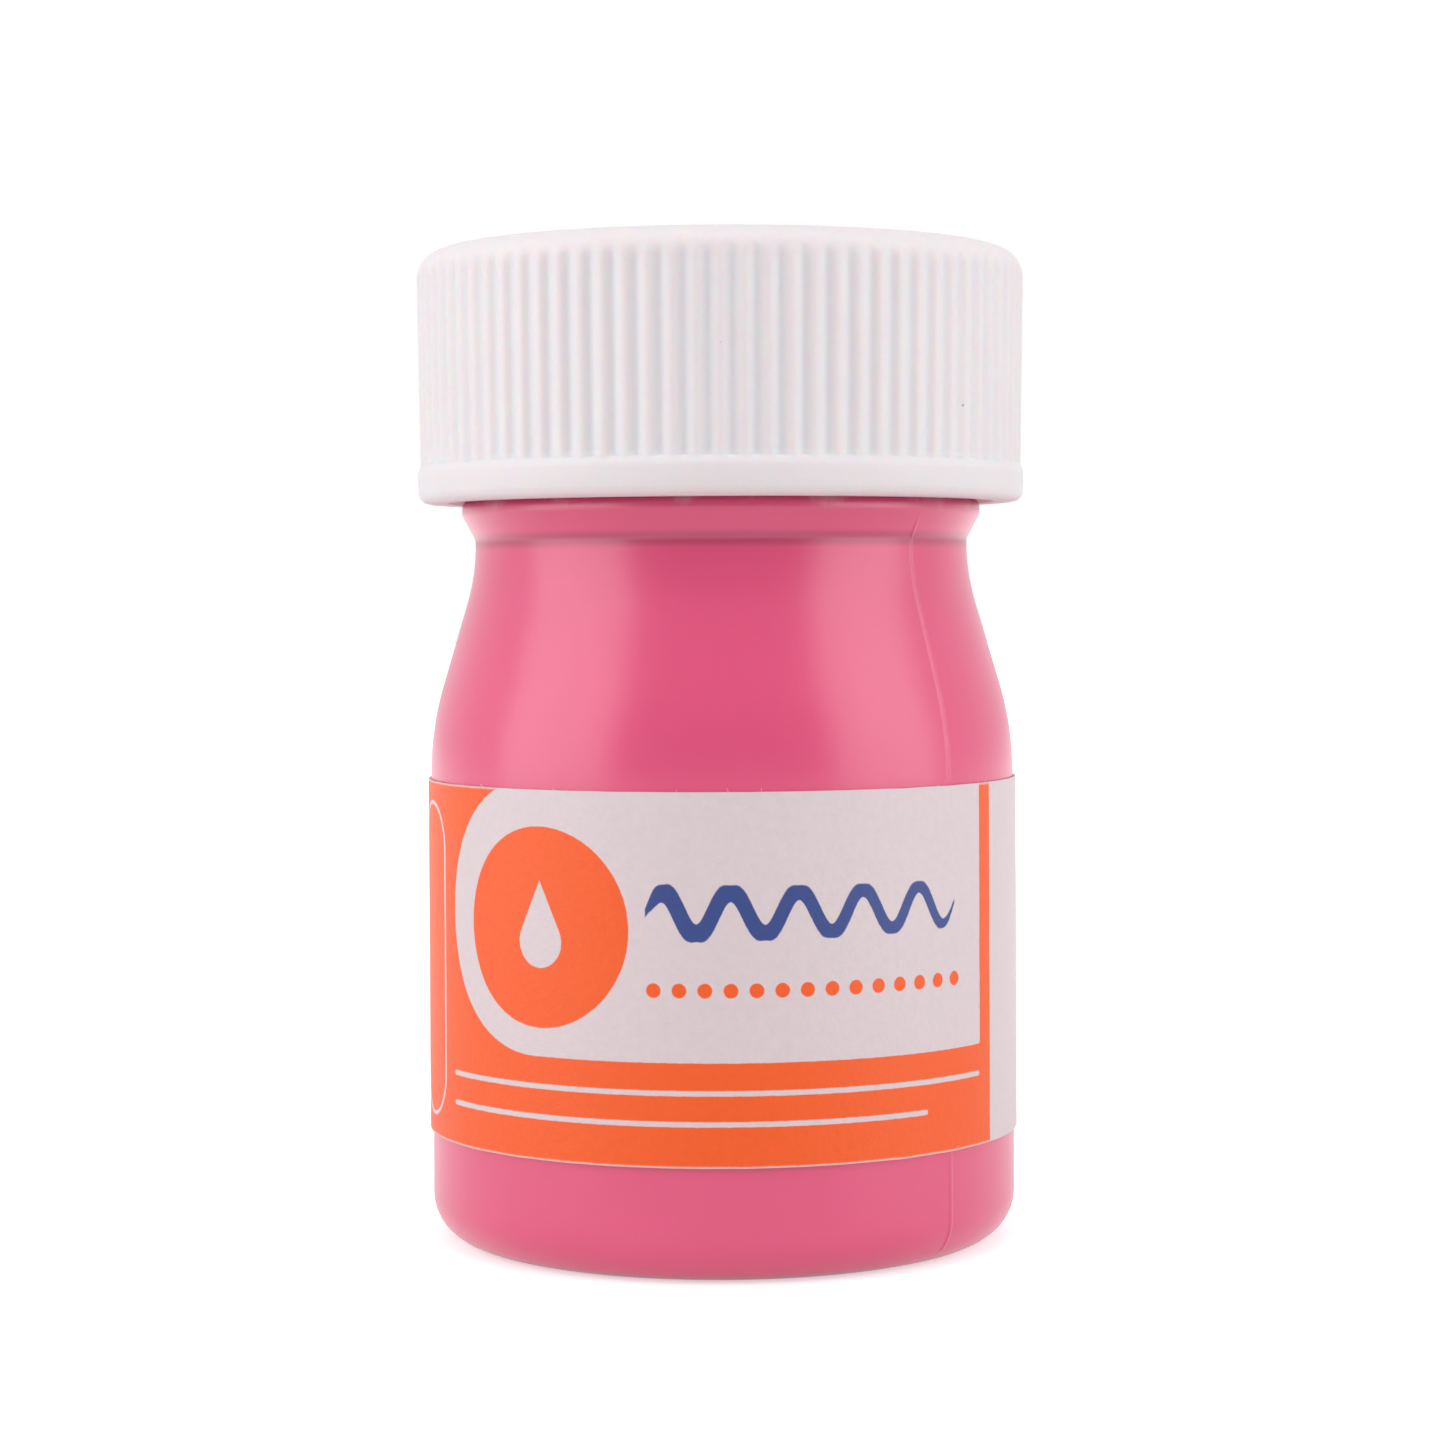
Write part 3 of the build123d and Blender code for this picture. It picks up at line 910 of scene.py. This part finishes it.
class PAINTJAR_OT_stage(bpy.types.Operator):
    """Set up the floor, the lamps, the white surroundings and the camera"""

    bl_idname = "paintjar.stage"
    bl_label = "Stage"

    def execute(self, context):
        scene = context.scene
        scene.view_settings.view_transform = "Standard"
        self.surroundings(scene)
        self.floor()
        self.dark_side()
        self.lamp("left_softbox", (-0.30, -0.15, 0.15), (0, -0.15, 0.10), 0.34, 0.36, 0.88)
        self.lamp("right_softbox", (0.30, -0.155, 0.15), (0, -0.155, 0.10), 0.30, 0.36, 0.78)
        self.lamp("high_softbox", (0.0, -0.20, 0.50), (0, 0, 0.03), 0.6, 0.5, 1.1)
        data = bpy.data.cameras.new("front_camera")
        data.sensor_width = 36
        data.lens = 85.83
        data.clip_start = 0.01
        camera = bpy.data.objects.new("front_camera", data)
        camera.location = (0.00005, -0.1812, 0.0338)
        tilt = Matrix.Rotation(math.radians(90 - 1.1), 4, "X")
        roll = Matrix.Rotation(math.radians(-0.28), 4, "Z")
        camera.rotation_euler = (tilt @ roll).to_euler()
        data.shift_y = -0.046
        scene.collection.objects.link(camera)
        scene.camera = camera
        return {"FINISHED"}

    def lamp(self, name, place, target, width, height, power):
        """A rectangular area lamp that faces its target."""
        data = bpy.data.lights.new(name, "AREA")
        data.shape = "RECTANGLE"
        data.size = width
        data.size_y = height
        data.energy = power
        lamp = bpy.data.objects.new(name, data)
        lamp.location = place
        aim = Vector(target) - Vector(place)
        lamp.rotation_euler = aim.to_track_quat("-Z", "Y").to_euler()
        bpy.context.scene.collection.objects.link(lamp)

    def seen(self, graph):
        """1 for what the camera sees, directly, in a gloss or through something clear."""
        path = graph.node("ShaderNodeLightPath").outputs
        direct, gloss, clear = (
            Number(graph, path[k]) for k in ("Is Camera Ray", "Is Glossy Ray", "Is Transmission Ray")
        )
        return graph.largest(direct, gloss, clear)

    def surroundings(self, scene):
        """A world that the camera and glossy reflections see as white, and that lights gently."""
        world = bpy.data.worlds.new("white_surroundings")
        world.use_nodes = True
        scene.world = world
        graph = Graph(world.node_tree)
        world.node_tree.nodes.clear()
        strength = self.seen(graph) * 0.62 + 0.38
        light = graph.node("ShaderNodeBackground", {}, {"Color": (1, 1, 1, 1), "Strength": strength})
        graph.node("ShaderNodeOutputWorld", {}, {0: light.outputs[0]})

    def dark_side(self):
        """The dim room behind the camera, which only glossy reflections show."""
        side, away, low, high = 0.41, -0.45, -0.1, 0.6
        corners = [(-side, away, low), (-side, away, high), (side, away, high), (side, away, low)]
        card = mesh_object("dark_side", corners, [(0, 1, 2, 3)])
        material = bpy.data.materials.new("dark_room")
        material.use_nodes = True
        graph = Graph(material.node_tree)
        material.node_tree.nodes.clear()
        gloss = graph.node("ShaderNodeLightPath").outputs["Is Glossy Ray"]
        dim = graph.node("ShaderNodeEmission", {}, {"Color": (1, 1, 1, 1), "Strength": 0.15})
        clear = graph.node("ShaderNodeBsdfTransparent")
        inputs = {0: gloss, 1: clear.outputs[0], 2: dim.outputs[0]}
        mixed = graph.node("ShaderNodeMixShader", {}, inputs)
        graph.node("ShaderNodeOutputMaterial", {}, {0: mixed.outputs[0]})
        card.data.materials.append(material)

    def floor(self):
        """A floor that takes the jar's shadow, fades to white and is clear from below."""
        corners = [(-2, -2, 0), (2, -2, 0), (2, 2, 0), (-2, 2, 0)]
        floor = mesh_object("floor", corners, [(0, 1, 2, 3)])
        material = bpy.data.materials.new("pale_floor")
        material.use_nodes = True
        graph = Graph(material.node_tree)
        material.node_tree.nodes.clear()
        place = graph.node("ShaderNodeTexCoord").outputs["Object"]
        distance = Number(graph, graph.vector("LENGTH", place, output="Value"))
        far = graph.ramp(distance, 0.05, 0.16)
        cloth = graph.node("ShaderNodeBsdfDiffuse", {}, {"Color": (0.8, 0.8, 0.8, 1)})
        strength = self.seen(graph) * (far * 0.45 + 0.55)
        glow = graph.node("ShaderNodeEmission", {}, {"Color": (1, 1, 1, 1), "Strength": strength})
        both = graph.node("ShaderNodeAddShader", {}, {0: cloth.outputs[0], 1: glow.outputs[0]})
        clear = graph.node("ShaderNodeBsdfTransparent")
        back = graph.node("ShaderNodeNewGeometry").outputs["Backfacing"]
        inputs = {0: back, 1: both.outputs[0], 2: clear.outputs[0]}
        sides = graph.node("ShaderNodeMixShader", {}, inputs)
        graph.node("ShaderNodeOutputMaterial", {}, {0: sides.outputs[0]})
        floor.data.materials.append(material)
        floor.location.z = -0.00002


class VIEW3D_PT_paint_jar(bpy.types.Panel):
    """Sizes and colours of the paint jar, with a button for each piece"""

    bl_label = "Paint jar"
    bl_idname = "VIEW3D_PT_paint_jar"
    bl_space_type = "VIEW_3D"
    bl_region_type = "UI"
    bl_category = "Paint jar"

    def draw(self, context):
        for group in (context.scene.paint_jar_sizes, context.scene.paint_jar_colours):
            box = self.layout.box()
            for name in group.__annotations__:
                box.prop(group, name)
        for operator in OPERATORS:
            self.layout.operator(operator.bl_idname)


OPERATORS = (
    PAINTJAR_OT_bottle,
    PAINTJAR_OT_cap,
    PAINTJAR_OT_wad,
    PAINTJAR_OT_paint,
    PAINTJAR_OT_label,
    PAINTJAR_OT_stage,
)
CLASSES = (PaintJarSizes, PaintJarColours, *OPERATORS, VIEW3D_PT_paint_jar)


def register():
    for item in CLASSES:
        bpy.utils.register_class(item)
    bpy.types.Scene.paint_jar_sizes = bpy.props.PointerProperty(type=PaintJarSizes)
    bpy.types.Scene.paint_jar_colours = bpy.props.PointerProperty(type=PaintJarColours)


def unregister():
    del bpy.types.Scene.paint_jar_colours
    del bpy.types.Scene.paint_jar_sizes
    for item in reversed(CLASSES):
        bpy.utils.unregister_class(item)


def main():
    register()
    bpy.ops.paintjar.bottle()
    bpy.ops.paintjar.cap()
    bpy.ops.paintjar.wad()
    bpy.ops.paintjar.paint()
    bpy.ops.paintjar.label()
    bpy.ops.paintjar.stage()


if __name__ == "__main__":
    main()
